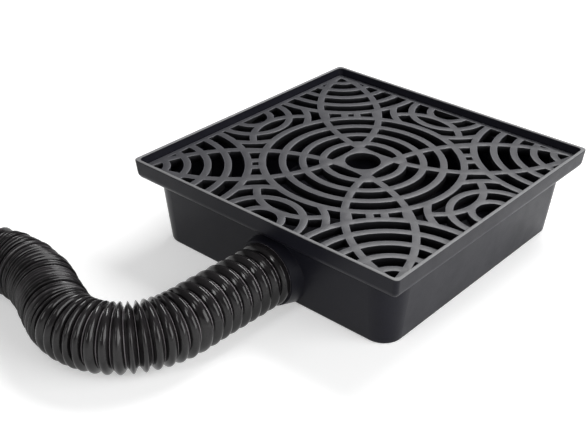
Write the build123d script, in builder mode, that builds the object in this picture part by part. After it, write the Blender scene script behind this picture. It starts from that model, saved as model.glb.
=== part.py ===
"""Low-profile catch basin with a drop-in grate, on the end of a flexible downspout hose.

All sizes are millimetres. The origin is the centre of the basin's base, on the ground. +Z is up,
and the hose leaves the basin's -Y wall.
"""

from build123d import *
import math
import os

# Basin
BASE_SIDE = 384.0        # outer side of the square base
BASE_CORNER = 27.0       # corner radius of the body at the ground
BASE_EDGE = 4.0          # rounding where the walls meet the base
BODY_HEIGHT = 91.5       # ground to the underside of the step
BASIN_HEIGHT = 121.0     # ground to the top of the lip
RIM_SIDE = 434.0         # outer side of the lip at its top
RIM_CORNER = 6.0         # corner radius of the rim
SHOULDER = 12.0          # rounding under the rim's outer wall
BODY_DRAFT = 6.2         # degrees that the body's walls lean outwards
RIM_DRAFT = 5.0          # degrees that the rim's walls lean outwards
WALL = 3.0               # wall and floor of the moulding
LIP = 5.0                # thickness of the lip round the grate
LIP_EDGE = 1.2           # rounding of the lip's top edges
POCKET_CORNER = 5.0      # corner radius of the pocket that holds the grate

# Outlet in the -Y wall
OUTLET_X = 18.0          # the outlet is a little off the wall's middle
HOSE_RADIUS = 42.0       # outside of the hose, which lies on the ground
HOSE_BORE = 34.0         # radius at the bottom of its folds, which the plain tube keeps as its bore
NECK_ROOT = 50.0         # radius of the neck where it leaves the wall
NECK_END = 44.0          # radius of the neck's end face
NECK_ROOT_Y = 192.0      # distance of the neck's root from the middle
NECK_END_Y = 214.0       # distance of its end face from the middle
SPIGOT_RADIUS = 33.0     # spigot that the hose is pushed over
SPIGOT_BORE = 29.8
SPIGOT_LENGTH = 32.0

# Grate
LEDGE_TOP = 99.0         # height of the ledge that the grate rests on
GRATE_DEPTH = 11.0       # thickness of the grate's bars
GRATE_GAP = 0.8          # play between the grate and the pocket
GRATE_CORNER = 5.0
RING_PITCH = 27.15       # step from one ring to the next
BAR = 9.8                # width of every bar
RING_COUNT = 5           # rings in each family
FAMILY_OFFSET = 205.0    # how far the outer families stand from the middle
PETAL_OFFSET = 235.0     # centres of the four large crossing circles
PETAL_RADIUS = 208.2
LENS_OFFSET = 110.6      # centres of the arcs that close the lens-shaped slots
LENS_RADIUS = 67.5
FRAME_INNER = 202.7      # half side of the opening inside the grate's frame
FINGER_HOLE = 24.2       # radius of the hole in the middle
SMALLEST_SLOT = 8.0      # area under which a gap in the pattern is solid

# Hose, as the points of its route on the ground
HOSE_ROUTE = [
    (18.0, -214.0),
    (18.0, -254.0),
    (16.0, -310.0),
    (15.8, -377.0),
    (-19.0, -430.0),
    (-73.6, -448.0),
    (-127.0, -429.0),
    (-176.0, -408.5),
    (-243.0, -405.2),
    (-299.0, -446.0),
    (-345.0, -462.0),
    (-388.0, -462.0),
]
BEND_SHARE = 0.45        # part of the shorter run that an arc takes up

# Adapter at the far end of the hose, for a 76 x 102 mm downspout
SOCKET_WIDTH = 104.0     # inside of the socket, along Y
SOCKET_HEIGHT = 78.0     # inside of the socket, along Z
SOCKET_DEPTH = 48.0
SOCKET_CORNER = 8.0
ADAPTER_WALL = 3.0
ADAPTER_STOP = 3.0       # step that the downspout's end meets
ADAPTER_COLLAR = 6.0     # plain round collar against the hose
ADAPTER_FLARE = 42.0     # length over which the box widens to the socket
ADAPTER_SPIGOT = 30.0

BODY_LEAN = math.tan(math.radians(BODY_DRAFT))
RIM_LEAN = math.tan(math.radians(RIM_DRAFT))
AXIS_Z = HOSE_RADIUS

os.makedirs("parts", exist_ok=True)


def body_half(z):
    """Half side of the body's outer wall at the height z."""
    return BASE_SIDE / 2 + z * BODY_LEAN


def rim_half(z):
    """Half side of the rim's outer wall at the height z."""
    return RIM_SIDE / 2 - (BASIN_HEIGHT - z) * RIM_LEAN


def leaning_block(low, high, half, corner, lean):
    """A square block that has its half side at its foot, and walls that lean outwards."""
    with BuildPart() as block:
        with BuildSketch(Plane.XY.offset(low)):
            Rectangle(2 * half, 2 * half)
        extrude(amount=high - low)
        if corner:
            fillet(block.edges().filter_by(Axis.Z), corner)
        walls = block.faces().filter_by(lambda face: abs(face.normal_at().Z) < 0.01)
        draft(walls, Plane.XY.offset(low), -lean)
    return block.part


# Catch basin: a tapered tub with a stepped rim, and a neck and spigot for the hose
outlet_plane = Plane(origin=(OUTLET_X, 0, AXIS_Z), x_dir=(1, 0, 0), z_dir=(0, -1, 0))
tub_half = body_half(WALL) - WALL
pocket_half = rim_half(LEDGE_TOP) - LIP

rim_block = leaning_block(BODY_HEIGHT, BASIN_HEIGHT, rim_half(BODY_HEIGHT), 0, RIM_DRAFT)
body_block = leaning_block(0, BODY_HEIGHT, body_half(0), BASE_CORNER, BODY_DRAFT)
tub_space = leaning_block(WALL, BASIN_HEIGHT, tub_half, BASE_CORNER - WALL, BODY_DRAFT)
pocket_space = leaning_block(LEDGE_TOP, BASIN_HEIGHT, pocket_half, POCKET_CORNER, RIM_DRAFT)

with BuildPart() as catch_basin:
    add(rim_block)
    fillet(catch_basin.edges().group_by(Axis.Z)[0], SHOULDER)
    corner_reach = rim_half(BODY_HEIGHT) - SHOULDER
    corner_edges = catch_basin.edges().filter_by(
        lambda edge: min(abs(edge.center().X), abs(edge.center().Y)) > corner_reach
    )
    fillet(corner_edges, RIM_CORNER)
    add(body_block)
    fillet(catch_basin.edges().group_by(Axis.Z)[0], BASE_EDGE)

    with BuildSketch(outlet_plane.offset(NECK_ROOT_Y)):
        Circle(NECK_ROOT)
    with BuildSketch(outlet_plane.offset(NECK_END_Y)):
        Circle(NECK_END)
    loft()
    with Locations((OUTLET_X, -NECK_END_Y, 0)):
        Box(
            3 * NECK_ROOT,
            NECK_END_Y,
            NECK_ROOT,
            align=(Align.CENTER, Align.CENTER, Align.MAX),
            mode=Mode.SUBTRACT,
        )

    add(tub_space, mode=Mode.SUBTRACT)
    add(pocket_space, mode=Mode.SUBTRACT)
    fillet(catch_basin.edges().group_by(Axis.Z)[-1], LIP_EDGE)

    with BuildSketch(outlet_plane.offset(NECK_END_Y)):
        Circle(SPIGOT_RADIUS)
    extrude(amount=SPIGOT_LENGTH)
    with BuildSketch(outlet_plane.offset(tub_half / 2)):
        Circle(SPIGOT_BORE)
    extrude(amount=NECK_END_Y + SPIGOT_LENGTH - tub_half / 2, mode=Mode.SUBTRACT)
catch_basin.part.label = "catch_basin"

# Grate: rings round the middle, the corners and the sides, crossed by four large circles
side_points = [(0, FAMILY_OFFSET), (0, -FAMILY_OFFSET), (FAMILY_OFFSET, 0), (-FAMILY_OFFSET, 0)]
corner_points = [(sx * FAMILY_OFFSET, sy * FAMILY_OFFSET) for sx in (-1, 1) for sy in (-1, 1)]
family_reach = RING_COUNT * RING_PITCH + BAR / 2


def add_family():
    """Rings of one family round the current locations, the largest first."""
    for count in range(RING_COUNT, 0, -1):
        Circle(count * RING_PITCH + BAR / 2)
        Circle(count * RING_PITCH - BAR / 2, mode=Mode.SUBTRACT)


with BuildSketch() as petal:
    Circle(PETAL_RADIUS + BAR / 2)
    Circle(PETAL_RADIUS - BAR / 2, mode=Mode.SUBTRACT)

with BuildSketch() as lens_arc:
    with Locations((0, LENS_OFFSET)):
        Circle(LENS_RADIUS + BAR / 2)
        Circle(LENS_RADIUS - BAR / 2, mode=Mode.SUBTRACT)
    with Locations((0, FAMILY_OFFSET)):
        Circle(3 * RING_PITCH, mode=Mode.INTERSECT)

with BuildSketch() as pattern:
    with Locations(*side_points):
        add_family()
    with Locations(*corner_points):
        Circle(family_reach, mode=Mode.SUBTRACT)
        add_family()
    Circle(family_reach, mode=Mode.SUBTRACT)
    add_family()
    with PolarLocations(PETAL_OFFSET, 4):
        add(petal.sketch)
    with PolarLocations(0, 4):
        add(lens_arc.sketch)
    Rectangle(2 * FRAME_INNER, 2 * FRAME_INNER, mode=Mode.INTERSECT)

grate_half = pocket_half - GRATE_GAP
with BuildSketch() as grate_face:
    RectangleRounded(2 * grate_half, 2 * grate_half, GRATE_CORNER)
    Rectangle(2 * FRAME_INNER, 2 * FRAME_INNER, mode=Mode.SUBTRACT)
    add(pattern.sketch)
    Circle(FINGER_HOLE, mode=Mode.SUBTRACT)
slots = grate_face.sketch.face().inner_wires()
open_slots = [slot for slot in slots if Face(slot).area > SMALLEST_SLOT]

with BuildPart() as grate:
    with BuildSketch(Plane.XY.offset(LEDGE_TOP)):
        RectangleRounded(2 * grate_half, 2 * grate_half, GRATE_CORNER)
        for slot in open_slots:
            add(Face(slot), mode=Mode.SUBTRACT)
    extrude(amount=GRATE_DEPTH)
grate.part.label = "grate"

# Hose: a plain tube along its route
corner_radii = []
for before, corner, after in zip(HOSE_ROUTE, HOSE_ROUTE[1:], HOSE_ROUTE[2:]):
    run_in = Vector(*corner) - Vector(*before)
    run_out = Vector(*after) - Vector(*corner)
    half_turn = math.radians(run_in.get_angle(run_out)) / 2
    shorter = min(run_in.length, run_out.length)
    corner_radii.append(BEND_SHARE * shorter / math.tan(half_turn))
print("hose bend radii", [round(radius) for radius in corner_radii])

with BuildPart() as hose:
    with BuildLine() as route:
        FilletPolyline(*[(x, y, AXIS_Z) for x, y in HOSE_ROUTE], radius=corner_radii)
    hose_path = route.wire()
    with BuildSketch(Plane(origin=hose_path @ 0, z_dir=hose_path % 0)):
        Circle(HOSE_RADIUS)
        Circle(HOSE_BORE, mode=Mode.SUBTRACT)
    sweep(path=hose_path)
hose.part.label = "hose"
hose_section = math.pi * (HOSE_RADIUS**2 - HOSE_BORE**2)
print("hose length", round(hose_path.length, 1))
print("hose volume against section x length", round(hose.part.volume / hose_section / hose_path.length, 4))

# Downspout adapter: a round spigot and collar, and a box that widens into the socket
end_x, end_y = HOSE_ROUTE[-1]
adapter_plane = Plane(origin=(end_x, end_y, AXIS_Z), x_dir=(0, -1, 0), z_dir=(-1, 0, 0))
ground_plane = Plane(origin=(end_x, end_y, 0), x_dir=(-1, 0, 0), z_dir=(0, 0, 1))
flare_end = ADAPTER_COLLAR + ADAPTER_FLARE
mouth = flare_end + SOCKET_DEPTH
outer_half = SOCKET_WIDTH / 2 + ADAPTER_WALL
stop_half = SOCKET_WIDTH / 2 - ADAPTER_STOP
stop_low = ADAPTER_WALL + ADAPTER_STOP

with BuildPart() as downspout_adapter:
    with BuildSketch(ground_plane):
        with BuildLine():
            Polyline(
                (ADAPTER_COLLAR, -HOSE_RADIUS),
                (flare_end, -outer_half),
                (mouth, -outer_half),
                (mouth, outer_half),
                (flare_end, outer_half),
                (ADAPTER_COLLAR, HOSE_RADIUS),
                close=True,
            )
        make_face()
    extrude(amount=SOCKET_HEIGHT + 2 * ADAPTER_WALL)
    long_edges = downspout_adapter.edges().filter_by(
        lambda edge: abs(edge.center().Z - AXIS_Z) > 1 and end_x - mouth < edge.center().X - 1
    )
    side_edges = long_edges.filter_by(lambda edge: abs(edge.center().Y - end_y) > 1)
    fillet(side_edges, SOCKET_CORNER + ADAPTER_WALL)
    with BuildSketch(adapter_plane.offset(-ADAPTER_SPIGOT)):
        Circle(SPIGOT_RADIUS)
    extrude(amount=ADAPTER_SPIGOT)
    with BuildSketch(adapter_plane):
        Circle(HOSE_RADIUS)
    extrude(amount=ADAPTER_COLLAR)

    with BuildSketch(adapter_plane.offset(flare_end)):
        RectangleRounded(SOCKET_WIDTH, SOCKET_HEIGHT, SOCKET_CORNER)
    extrude(amount=SOCKET_DEPTH, mode=Mode.SUBTRACT)
    with BuildSketch(ground_plane.offset(stop_low)):
        with BuildLine():
            Polyline(
                (ADAPTER_COLLAR + ADAPTER_WALL, -SPIGOT_RADIUS),
                (flare_end, -stop_half),
                (flare_end, stop_half),
                (ADAPTER_COLLAR + ADAPTER_WALL, SPIGOT_RADIUS),
                close=True,
            )
        make_face()
    extrude(amount=SOCKET_HEIGHT - 2 * ADAPTER_STOP, mode=Mode.SUBTRACT)
    with BuildSketch(adapter_plane.offset(-ADAPTER_SPIGOT)):
        Circle(SPIGOT_BORE)
    extrude(amount=ADAPTER_SPIGOT + flare_end, mode=Mode.SUBTRACT)
downspout_adapter.part.label = "downspout_adapter"

for piece in (catch_basin, grate, hose, downspout_adapter):
    export_step(piece.part, f"parts/{piece.part.label}.step")
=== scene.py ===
import math
import random

import bmesh
import bpy
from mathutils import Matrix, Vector


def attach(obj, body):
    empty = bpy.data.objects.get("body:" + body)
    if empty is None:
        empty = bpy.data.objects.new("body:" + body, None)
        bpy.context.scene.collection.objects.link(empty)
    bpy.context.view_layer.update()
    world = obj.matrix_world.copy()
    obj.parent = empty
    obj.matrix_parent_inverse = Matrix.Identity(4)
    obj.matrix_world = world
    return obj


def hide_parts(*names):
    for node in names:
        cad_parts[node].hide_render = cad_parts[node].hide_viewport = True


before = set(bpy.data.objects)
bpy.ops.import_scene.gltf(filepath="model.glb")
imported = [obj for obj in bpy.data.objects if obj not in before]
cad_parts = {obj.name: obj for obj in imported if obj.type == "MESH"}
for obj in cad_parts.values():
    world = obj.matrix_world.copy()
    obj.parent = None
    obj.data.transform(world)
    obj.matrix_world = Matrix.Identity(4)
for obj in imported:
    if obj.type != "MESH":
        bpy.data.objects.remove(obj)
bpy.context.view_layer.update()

# The camera, the studio and the lip's line are in metres, and all other sizes in millimetres
MM = 0.001

# Camera, found from the rim's corners and the grate's pattern
CAMERA_AZIMUTH = 41.013
CAMERA_ELEVATION = 30.818
CAMERA_ROLL = 0.518
CAMERA_PLACE = (0.7514, -1.0045, 0.7619)
CAMERA_LENS = 63.97
SENSOR_WIDTH = 36.0

# Hose, as the points of its route on the ground
HOSE_Z = 42.0
ROUTE = [
    (18.0, -214.0),
    (18.0, -254.0),
    (16.0, -310.0),
    (15.8, -377.0),
    (-19.0, -430.0),
    (-73.6, -448.0),
    (-127.0, -429.0),
    (-176.0, -408.5),
    (-243.0, -405.2),
    (-299.0, -446.0),
    (-345.0, -462.0),
    (-388.0, -462.0),
]

# Pitches of the hose's folds, from the basin on. The closed ones fill what is left.
OPEN_FOLDS = [12.0] + [16.0] * 8 + [11.4] * 9 + [9.5, 8.6, 9.6, 10.4, 10.6]
CLOSED_FOLD = 5.4
LONG_FOLD = 8.0          # a fold with a longer pitch than this is an open one

# Sections of the folds
CREST = 41.9             # radius at the top of a fold
OPEN_DEPTH = 6.6         # depth of an open fold
OPEN_ROUND = 1.40        # how round its crest is
TEETH_DEPTH = 8.6        # the sharp folds that are stretched round the bend
TEETH_ROUND = 0.20
TEETH_AT = 197.0         # middle of that stretch, along the hose
TEETH_REACH = 15.0
TEETH_FADE = 6.0
CLOSED_DEPTH = 8.4
CLOSED_ROUND = 0.6
VALLEY_ROUND = 0.13

# Where a fold has its rings of points, as shares of its pitch
OPEN_HALF = [0, 0.012, 0.03, 0.055, 0.09, 0.14, 0.21, 0.30, 0.40, 0.5]
OPEN_RINGS = OPEN_HALF + [1 - u for u in reversed(OPEN_HALF[1:-1])]
CLOSED_RINGS = [0, 0.05, 0.14, 0.26, 0.38, 0.5, 0.62, 0.74, 0.86, 0.95]

# How uneven the folds are
PITCH_WAVE = 0.30        # slow change of the closed folds' pitch
WAVE_STEP = 0.83
PITCH_PLAY = 0.25
OPEN_TILT = 0.45         # how far an open fold leans along the hose
CLOSED_TILT = 0.6
OPEN_DROP = 0.4          # how much lower than the others its crest may be
CLOSED_DROP = 2.8

# How light the hose's colour is, as a multiple of it: painted highlights and painted shade in its folds,
# and painted light on its top
OPEN_TONE = 1.1
CREASE_HIGHLIGHT_AND_SHADE = [(0.02, 22.0), (0.04, 6.0), (0.12, 0.3)]    # a painted highlight in the creases, then painted shade beside it, up to each share of the pitch
CLOSED_TONE = 2.0        # at the top of a closed fold, painted lighter than its gap
TONE_FALL = 1.95         # painted shade darkens it from there to its valley
TONE_LOW = 0.4           # closed folds differ between these two
TONE_HIGH = 1.5
PAINTED_TOP_LIGHT = 0.8          # painted light: how much lighter the hose's colour is on top than at its sides

# The plain end of the hose, and its bore
CUFF = 3.0
CUFF_RISE = 2.6          # from the hose's end to where the cuff rises
CUFF_TOP = 1.8
CUFF_EDGE = 0.6
BORE = 32.5
BORE_STEPS = 60
AROUND = 76              # points round the hose
GROUND_GAP = 0.02        # the folds stay this far above the floor

# Grate
BAR_EDGE = 0.4           # rounding of the bars' top edges
SMOOTH_ANGLE = 50.0      # steeper edges than this stay sharp
WELD = 0.01              # points that are nearer than this are one
TOP_SLACK = 0.1          # points this near the top belong to it

# Edges as the shading sees them, the painted highlight along the grate's edges, and the painted
# highlight on top of the basin's lip
SOFT_EDGE = 0.8          # rounding of the basin's and the adapter's edges
EDGE_HIGHLIGHT_REACH = 1.8          # how far in from the grate's edges its painted highlight reaches
LIP_LINE = 0.1203        # height from which the lip has a painted highlight
LIP_FADE = 0.0005
# Colour of the painted highlight on top of the lip
LIP_HIGHLIGHT_COLOUR = (0.20, 0.20, 0.205)

# Studio
FLOOR_SIDE = 12.0        # half side of the floor
FLOOR_Z = -0.0004
FLOOR_WHITE = 0.80
FLOOR_NEAR = 0.42        # the floor's own glow, near the object and far from it
FLOOR_FAR = 0.92
GLOW_START = 0.7         # distances between which the glow grows
GLOW_END = 3.0
CEILING = 0.12           # how bright the ceiling is
WALL_TOP = 0.13          # the pale wall fades into the ceiling between these two
CEILING_FROM = 0.32
LOOKED_AT = (-0.03, -0.1, 0.06)

# Lamps: name, azimuth, elevation, distance, width, height and brightness
LAMPS = [
    ("back_box", 190, 52, 2.2, 1.4, 0.9, 10.7),
    ("right_box", 98, 25, 2.0, 1.9, 1.3, 4.3),
    ("front_box", 20, 55, 2.0, 0.5, 0.5, 4.0),
    ("low_box", 2, 28, 2.0, 0.3, 0.6, 8.0),
]


def towards(azimuth, elevation):
    """The direction from the object to a place at these angles, given in degrees."""
    a, e = math.radians(azimuth), math.radians(elevation)
    return Vector((math.sin(a) * math.cos(e), -math.cos(a) * math.cos(e), math.sin(e)))


def make_camera():
    """The camera, at the photograph's angle."""
    turn, roll = math.radians(CAMERA_AZIMUTH), math.radians(CAMERA_ROLL)
    back = towards(CAMERA_AZIMUTH, CAMERA_ELEVATION)
    level = Vector((math.cos(turn), math.sin(turn), 0))
    upright = back.cross(level)
    right = level * math.cos(roll) + upright * math.sin(roll)
    up = upright * math.cos(roll) - level * math.sin(roll)
    data = bpy.data.cameras.new("camera")
    data.lens = CAMERA_LENS
    data.sensor_width = SENSOR_WIDTH
    data.clip_start = 0.05
    data.clip_end = 60.0
    camera = bpy.data.objects.new("camera", data)
    bpy.context.scene.collection.objects.link(camera)
    for column, axis in enumerate((right, up, back, Vector(CAMERA_PLACE))):
        for row in range(3):
            camera.matrix_world[row][column] = axis[row]
    bpy.context.scene.camera = camera


def hose_line():
    """Points along the smooth line through the hose's route, in millimetres."""
    curve = bpy.data.curves.new("hose_line", "CURVE")
    curve.dimensions = "3D"
    curve.resolution_u = 40
    spline = curve.splines.new("NURBS")
    spline.points.add(len(ROUTE) - 1)
    for point, (x, y) in zip(spline.points, ROUTE):
        point.co = (x * MM, y * MM, HOSE_Z * MM, 1)
    spline.order_u = 3
    spline.use_endpoint_u = True
    holder = bpy.data.objects.new("hose_line", curve)
    bpy.context.scene.collection.objects.link(holder)
    bpy.context.view_layer.update()
    drawn = bpy.data.meshes.new_from_object(holder)
    points = [v.co / MM for v in drawn.vertices]
    bpy.data.objects.remove(holder)
    bpy.data.meshes.remove(drawn)
    bpy.data.curves.remove(curve)
    return points


class Line:
    """A polyline that is read by its length."""

    def __init__(self, points):
        self.points = points
        self.at = [0.0]
        for a, b in zip(points, points[1:]):
            self.at.append(self.at[-1] + (b - a).length)
        self.length = self.at[-1]

    def place(self, s):
        """Position and direction at the length s."""
        s = min(max(s, 0.0), self.length)
        low, high = 0, len(self.at) - 1
        while high - low > 1:
            middle = (low + high) // 2
            if self.at[middle] <= s:
                low = middle
            else:
                high = middle
        share = (s - self.at[low]) / (self.at[high] - self.at[low])
        here = self.points[low].lerp(self.points[high], share)
        return here, (self.points[high] - self.points[low]).normalized()


def fold_shape(u, crest_round, valley_round):
    """0 at the top of a fold and 1 in the valleys at both its ends, with even flanks between."""
    t = abs(2 * u - 1)
    rise = math.sqrt(t * t + crest_round**2) - crest_round
    rise /= math.sqrt(1 + crest_round**2) - crest_round
    left = 1 - rise
    sunk = math.sqrt(left * left + valley_round**2) - valley_round
    sunk /= math.sqrt(1 + valley_round**2) - valley_round
    return 1 - sunk


def painted_fold_tone(u, shape, is_open):
    """How light the plastic's colour is: a painted highlight in open folds' creases with painted shade
    beside it, and painted shade in the gaps between closed ones.
    """
    if not is_open:
        return CLOSED_TONE - TONE_FALL * shape
    for reach, tone in CREASE_HIGHLIGHT_AND_SHADE:
        if min(u, 1 - u) < reach:
            return tone
    return OPEN_TONE


def fold_pitches(length, seed):
    """Every fold's pitch, with where its rings of points are."""
    left = length - sum(OPEN_FOLDS) - CUFF
    closed = []
    for index in range(round(left / CLOSED_FOLD)):
        wave = 1 + PITCH_WAVE * math.sin(index * WAVE_STEP) + seed.uniform(-PITCH_PLAY, PITCH_PLAY)
        closed.append(CLOSED_FOLD * wave)
    scale = left / sum(closed)
    return [(p, OPEN_RINGS) for p in OPEN_FOLDS] + [(p * scale, CLOSED_RINGS) for p in closed]


def hose_rings(length):
    """Distance along the hose, radius, tilt and tone of every ring of points."""
    seed = random.Random(7)
    rings = []
    start = 0.0
    tilt = (0.0, 0.0)
    for number, (pitch, samples) in enumerate(fold_pitches(length, seed)):
        is_open = pitch > LONG_FOLD
        lean = OPEN_TILT if is_open else CLOSED_TILT
        following = (0.0, 0.0)
        # The first two folds stand square to the neck
        if number > 1:
            following = (seed.uniform(-lean, lean), seed.uniform(-lean, lean))
        middle = start + pitch / 2
        stretched = min(max((TEETH_REACH - abs(middle - TEETH_AT)) / TEETH_FADE, 0.0), 1.0)
        if is_open:
            depth = OPEN_DEPTH + (TEETH_DEPTH - OPEN_DEPTH) * stretched
            crest_round = OPEN_ROUND + (TEETH_ROUND - OPEN_ROUND) * stretched
        else:
            depth = CLOSED_DEPTH
            crest_round = CLOSED_ROUND
        crest = CREST - seed.uniform(0, OPEN_DROP if is_open else CLOSED_DROP)
        light = 1.0 if is_open else seed.uniform(TONE_LOW, TONE_HIGH)
        for u in samples:
            shape = fold_shape(u, crest_round, VALLEY_ROUND)
            # The first fold is plain up to its top, where it meets the neck
            if number == 0 and u < 0.5:
                shape = 0.0
            blend = (tilt[0] + (following[0] - tilt[0]) * u, tilt[1] + (following[1] - tilt[1]) * u)
            # The tone holds the fold's painted highlight and painted shade, times the fold's random
            # lightness
            tone = light * painted_fold_tone(u, shape, is_open)
            rings.append((start + u * pitch, crest - depth * shape, blend, tone))
        start += pitch
        tilt = following
    rings.append((start, CREST - OPEN_DEPTH, (0, 0), 1.0))
    rings.append((length - CUFF_RISE, CREST - CUFF_EDGE, (0, 0), 1.0))
    rings.append((length - CUFF_TOP, CREST, (0, 0), 1.0))
    rings.append((length, CREST, (0, 0), 1.0))
    return rings


def make_hose():
    """The ribbed hose, open folds by the basin and closed ones further on."""
    line = Line(hose_line())
    rings = hose_rings(line.length)
    for step in range(BORE_STEPS + 1):
        rings.append((line.length * (1 - step / BORE_STEPS), BORE, (0, 0), 1.0))

    verts = []
    tones = []
    for s, radius, tilt, tone in rings:
        centre, along = line.place(s)
        side = along.cross(Vector((0, 0, 1))).normalized()
        for k in range(AROUND):
            angle = 2 * math.pi * k / AROUND
            c, n = math.cos(angle), math.sin(angle)
            lean = tilt[0] * c + tilt[1] * n
            point = centre + side * (radius * c) + Vector((0, 0, radius * n)) + along * lean
            point.z = max(point.z, GROUND_GAP)
            verts.append(point * MM)
            # Painted light: the colour is lighter towards the hose's top
            tones.append(tone * (1 + PAINTED_TOP_LIGHT * n))

    faces = []
    for r in range(len(rings)):
        after = (r + 1) % len(rings)
        for k in range(AROUND):
            n = (k + 1) % AROUND
            faces.append((r * AROUND + k, r * AROUND + n, after * AROUND + n, after * AROUND + k))
    mesh = bpy.data.meshes.new("ribbed_hose")
    mesh.from_pydata(verts, [], faces)
    tone_layer = mesh.attributes.new("tone", "FLOAT", "POINT")
    tone_layer.data.foreach_set("value", tones)
    for polygon in mesh.polygons:
        polygon.use_smooth = True
    piece = bpy.data.objects.new("ribbed_hose", mesh)
    bpy.context.scene.collection.objects.link(piece)
    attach(piece, "root")
    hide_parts("hose")
    return piece


def make_grate():
    """The grate again, with the top edges of its bars rounded."""
    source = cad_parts["grate"]
    shape = bmesh.new()
    shape.from_mesh(source.data)
    bmesh.ops.remove_doubles(shape, verts=shape.verts, dist=WELD * MM)
    top = max(vertex.co.z for vertex in shape.verts) - TOP_SLACK * MM
    # Edges where the flat top meets a wall
    edges = []
    for edge in shape.edges:
        if len(edge.link_faces) != 2 or min(v.co.z for v in edge.verts) < top:
            continue
        if abs(edge.link_faces[0].normal.dot(edge.link_faces[1].normal)) < 0.5:
            edges.append(edge)
    bmesh.ops.bevel(
        shape,
        geom=edges,
        offset=BAR_EDGE * MM,
        segments=3,
        profile=0.5,
        affect="EDGES",
        clamp_overlap=False,
    )
    mesh = bpy.data.meshes.new("soft_grate")
    shape.to_mesh(mesh)
    shape.free()
    for polygon in mesh.polygons:
        polygon.use_smooth = True
    mesh.set_sharp_from_angle(angle=math.radians(SMOOTH_ANGLE))
    piece = bpy.data.objects.new("soft_grate", mesh)
    piece.matrix_world = source.matrix_world
    bpy.context.scene.collection.objects.link(piece)
    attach(piece, "root")
    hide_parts("grate")
    return piece


class Nodes:
    """A material's node tree, built by short calls."""

    def __init__(self, name):
        self.material = bpy.data.materials.new(name)
        self.material.use_nodes = True
        self.tree = self.material.node_tree
        self.tree.nodes.clear()
        self.output = self.add("ShaderNodeOutputMaterial")
        self.place = self.add("ShaderNodeTexCoord").outputs["Object"]

    def add(self, kind, **values):
        """Adds a node and sets its properties."""
        node = self.tree.nodes.new(kind)
        for key, value in values.items():
            setattr(node, key, value)
        return node

    def join(self, source, target):
        """Links an output to an input."""
        self.tree.links.new(source, target)

    def noise(self, scale, detail=3.0, rough=0.55):
        """A noise pattern, scale in features a metre."""
        node = self.add("ShaderNodeTexNoise")
        node.inputs["Scale"].default_value = scale
        node.inputs["Detail"].default_value = detail
        node.inputs["Roughness"].default_value = rough
        self.join(self.place, node.inputs["Vector"])
        return node.outputs["Fac"]

    def height_of(self, vector):
        """The Z part of a place or a direction."""
        node = self.add("ShaderNodeSeparateXYZ")
        self.join(vector, node.inputs["Vector"])
        return node.outputs["Z"]

    def spread(self, source, low, high, start=0.3, end=0.7):
        """Maps a pattern to the values from low to high."""
        node = self.add("ShaderNodeMapRange")
        node.inputs["From Min"].default_value = start
        node.inputs["From Max"].default_value = end
        node.inputs["To Min"].default_value = low
        node.inputs["To Max"].default_value = high
        self.join(source, node.inputs["Value"])
        return node.outputs["Result"]

    def colours(self, source, low, high):
        """Runs from one colour to another with a pattern."""
        node = self.add("ShaderNodeValToRGB")
        node.color_ramp.elements[0].position = 0.3
        node.color_ramp.elements[0].color = (*low, 1)
        node.color_ramp.elements[1].position = 0.7
        node.color_ramp.elements[1].color = (*high, 1)
        self.join(source, node.inputs["Fac"])
        return node.outputs["Color"]

    def dim(self, colour, level):
        """Multiplies a colour by a level."""
        node = self.add("ShaderNodeVectorMath", operation="SCALE")
        self.join(colour, node.inputs[0])
        self.join(level, node.inputs["Scale"])
        return node.outputs["Vector"]

    def rounded(self, radius_mm, samples):
        """The surface's direction, as if its edges were rounded."""
        node = self.add("ShaderNodeBevel", samples=samples)
        node.inputs["Radius"].default_value = radius_mm * MM
        return node.outputs["Normal"]

    def bump(self, source, depth_mm, under=None):
        """Ripples that a pattern gives the surface, over those that are under them."""
        node = self.add("ShaderNodeBump")
        node.inputs["Strength"].default_value = 1.0
        node.inputs["Distance"].default_value = depth_mm * MM
        self.join(source, node.inputs["Height"])
        if under:
            self.join(under, node.inputs["Normal"])
        return node.outputs["Normal"]


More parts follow.
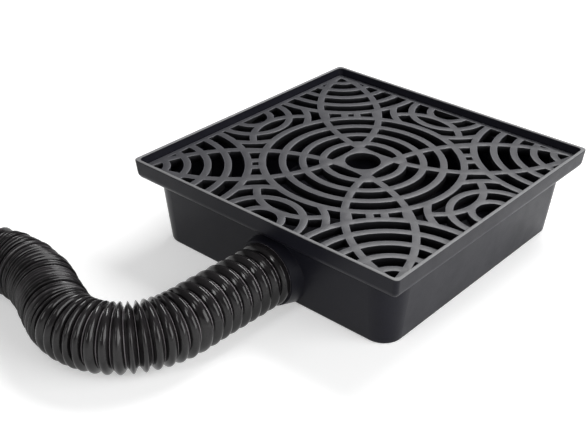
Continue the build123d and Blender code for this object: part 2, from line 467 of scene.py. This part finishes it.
def moulded(name, dark, light, rough, grain, depth, specular, edge=0.0, wall=1.0, edge_highlight=0.0, lip=None):
    """Moulded plastic: a fine grain, uneven gloss, faint clouding and softened edges.

    wall darkens the faces that stand upright with painted shade, worn paints a highlight along the
    edges, and lip is the colour of the painted highlight on the plastic above the lip's line.
    """
    nodes = Nodes(name)
    shader = nodes.add("ShaderNodeBsdfPrincipled")
    shader.inputs["Specular IOR Level"].default_value = specular
    colour = nodes.colours(nodes.noise(9.0, 4.0), dark, light)
    colour = nodes.dim(colour, nodes.spread(nodes.noise(620.0, 4.0, 0.7), 0.78, 1.22))
    # Painted shade on the faces that stand upright
    if wall < 1:
        facing = nodes.height_of(nodes.add("ShaderNodeNewGeometry").outputs["True Normal"])
        colour = nodes.dim(colour, nodes.spread(facing, wall, 1.0))
    # A painted highlight along the edges
    if edge_highlight > 0:
        facing = nodes.height_of(nodes.rounded(EDGE_HIGHLIGHT_REACH, 8))
        colour = nodes.dim(colour, nodes.spread(facing, 1.0 + edge_highlight, 1.0, 0.92, 0.998))
    # A painted highlight on the lip's top
    if lip:
        height = nodes.height_of(nodes.place)
        mix = nodes.add("ShaderNodeMix", data_type="RGBA")
        nodes.join(nodes.spread(height, 0.0, 1.0, LIP_LINE, LIP_LINE + LIP_FADE), mix.inputs[0])
        nodes.join(colour, mix.inputs[6])
        mix.inputs[7].default_value = (*lip, 1)
        colour = mix.outputs[2]
    nodes.join(colour, shader.inputs["Base Color"])
    gloss = nodes.spread(nodes.noise(38.0, 5.0, 0.6), rough - 0.05, rough + 0.05)
    nodes.join(gloss, shader.inputs["Roughness"])
    soft = nodes.rounded(edge, 6) if edge > 0 else None
    waves = nodes.bump(nodes.noise(22.0, 2.0), depth * 2.0, soft)
    normal = nodes.bump(nodes.noise(grain, 3.0, 0.6), depth, waves)
    nodes.join(normal, shader.inputs["Normal"])
    nodes.join(shader.outputs["BSDF"], nodes.output.inputs["Surface"])
    return nodes.material


def basin_satin():
    """The basin's plastic, with a painted highlight on top of its lip."""
    return moulded(
        "basin_satin",
        dark=(0.0070, 0.0070, 0.0110),
        light=(0.0110, 0.0110, 0.0160),
        rough=0.36,
        grain=2600.0,
        depth=0.02,
        specular=0.14,
        edge=SOFT_EDGE,
        lip=LIP_HIGHLIGHT_COLOUR,
    )


def grate_satin():
    """The grate's plastic, with a painted highlight along its edges and painted shade on the upright
    walls of its slots.
    """
    return moulded(
        "grate_satin",
        dark=(0.035, 0.035, 0.041),
        light=(0.048, 0.048, 0.055),
        rough=0.42,
        grain=2400.0,
        depth=0.03,
        specular=0.5,
        # painted shade on the upright faces, the walls of the slots
        wall=0.08,
        # a painted highlight along the edges
        edge_highlight=1.6,
    )


def adapter_satin():
    """The adapter's plastic."""
    return moulded(
        "adapter_satin",
        dark=(0.013, 0.013, 0.015),
        light=(0.019, 0.019, 0.021),
        rough=0.36,
        grain=2600.0,
        depth=0.02,
        specular=0.4,
        edge=SOFT_EDGE,
    )


def hose_gloss():
    """Thin blown plastic: a high gloss, faint ripples, and the painted highlights and painted shade of
    the folds.
    """
    nodes = Nodes("hose_gloss")
    shader = nodes.add("ShaderNodeBsdfPrincipled")
    shader.inputs["Specular IOR Level"].default_value = 0.34
    colour = nodes.colours(nodes.noise(30.0, 3.0), (0.0058, 0.0053, 0.0056), (0.0110, 0.0101, 0.0107))
    # The tone attribute holds the folds' painted highlights and painted shade, and the painted light on
    # the hose's top
    tone = nodes.add("ShaderNodeAttribute", attribute_name="tone")
    nodes.join(nodes.dim(colour, tone.outputs["Fac"]), shader.inputs["Base Color"])
    gloss = nodes.spread(nodes.noise(120.0, 4.0, 0.6), 0.08, 0.18)
    nodes.join(gloss, shader.inputs["Roughness"])
    ripples = nodes.bump(nodes.noise(90.0, 2.0), 0.16)
    normal = nodes.bump(nodes.noise(700.0, 2.0), 0.012, ripples)
    nodes.join(normal, shader.inputs["Normal"])
    nodes.join(shader.outputs["BSDF"], nodes.output.inputs["Surface"])
    return nodes.material


def dress(piece, material):
    """Gives a piece one material all over."""
    piece.data.materials.clear()
    piece.data.materials.append(material)


def dress_node(name, material):
    """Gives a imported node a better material, in its object's own slots."""
    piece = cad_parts[name]
    for place in piece.material_slots:
        place.link = "OBJECT"
        place.material = material


def seen_by_eye(nodes):
    """1 for what the camera, a reflection or a clear surface sees, and 0 for scattered light."""
    path = nodes.add("ShaderNodeLightPath")
    first = nodes.add("ShaderNodeMath", operation="MAXIMUM")
    nodes.join(path.outputs["Is Camera Ray"], first.inputs[0])
    nodes.join(path.outputs["Is Glossy Ray"], first.inputs[1])
    second = nodes.add("ShaderNodeMath", operation="MAXIMUM")
    nodes.join(first.outputs["Value"], second.inputs[0])
    nodes.join(path.outputs["Is Transmission Ray"], second.inputs[1])
    return second.outputs["Value"]


def make_floor():
    """A plain white floor that keeps the soft shadow."""
    mesh = bpy.data.meshes.new("floor")
    corners = [(-1, -1), (1, -1), (1, 1), (-1, 1)]
    mesh.from_pydata([(x * FLOOR_SIDE, y * FLOOR_SIDE, FLOOR_Z) for x, y in corners], [], [(0, 1, 2, 3)])
    floor = bpy.data.objects.new("floor", mesh)
    bpy.context.scene.collection.objects.link(floor)
    nodes = Nodes("floor_white")
    lit = nodes.add("ShaderNodeBsdfDiffuse")
    lit.inputs["Color"].default_value = (FLOOR_WHITE, FLOOR_WHITE, FLOOR_WHITE, 1)
    glow = nodes.add("ShaderNodeEmission")
    glow.inputs["Color"].default_value = (1, 1, 1, 1)
    reach = nodes.add("ShaderNodeVectorMath", operation="LENGTH")
    nodes.join(nodes.place, reach.inputs[0])
    level = nodes.spread(reach.outputs["Value"], FLOOR_NEAR, FLOOR_FAR, GLOW_START, GLOW_END)
    strength = nodes.add("ShaderNodeMath", operation="MULTIPLY")
    nodes.join(seen_by_eye(nodes), strength.inputs[0])
    nodes.join(level, strength.inputs[1])
    nodes.join(strength.outputs["Value"], glow.inputs["Strength"])
    both = nodes.add("ShaderNodeAddShader")
    nodes.join(lit.outputs["BSDF"], both.inputs[0])
    nodes.join(glow.outputs["Emission"], both.inputs[1])
    nodes.join(both.outputs["Shader"], nodes.output.inputs["Surface"])
    dress(floor, nodes.material)


def make_world():
    """A pale wall all round and a dim ceiling, with a plain soft fill."""
    world = bpy.data.worlds.new("studio")
    bpy.context.scene.world = world
    world.use_nodes = True
    tree = world.node_tree
    tree.nodes.clear()
    output = tree.nodes.new("ShaderNodeOutputWorld")
    place = tree.nodes.new("ShaderNodeTexCoord")
    split = tree.nodes.new("ShaderNodeSeparateXYZ")
    height = tree.nodes.new("ShaderNodeMapRange")
    height.interpolation_type = "SMOOTHSTEP"
    height.inputs["From Min"].default_value = WALL_TOP
    height.inputs["From Max"].default_value = CEILING_FROM
    height.inputs["To Min"].default_value = 1.0
    height.inputs["To Max"].default_value = CEILING
    background = tree.nodes.new("ShaderNodeBackground")
    background.inputs["Color"].default_value = (1, 1, 1, 1)
    tree.links.new(place.outputs["Generated"], split.inputs["Vector"])
    tree.links.new(split.outputs["Z"], height.inputs["Value"])
    tree.links.new(height.outputs["Result"], background.inputs["Strength"])
    tree.links.new(background.outputs["Background"], output.inputs["Surface"])


def softbox(name, azimuth, elevation, distance, width, height, brightness):
    """A soft light that looks at the object, given as its direction and how bright its face is."""
    back = towards(azimuth, elevation)
    data = bpy.data.lights.new(name, "AREA")
    data.shape = "RECTANGLE"
    data.size = width
    data.size_y = height
    data.energy = brightness * math.pi * width * height
    light = bpy.data.objects.new(name, data)
    bpy.context.scene.collection.objects.link(light)
    light.location = Vector(LOOKED_AT) + back * distance
    light.rotation_mode = "QUATERNION"
    light.rotation_quaternion = (-back).to_track_quat("-Z", "Y")


bpy.context.scene.view_settings.view_transform = "Standard"
make_camera()
hose = make_hose()
grate = make_grate()
dress(hose, hose_gloss())
dress_node("catch_basin", basin_satin())
dress(grate, grate_satin())
dress_node("downspout_adapter", adapter_satin())

make_floor()
make_world()
for lamp in LAMPS:
    softbox(*lamp)
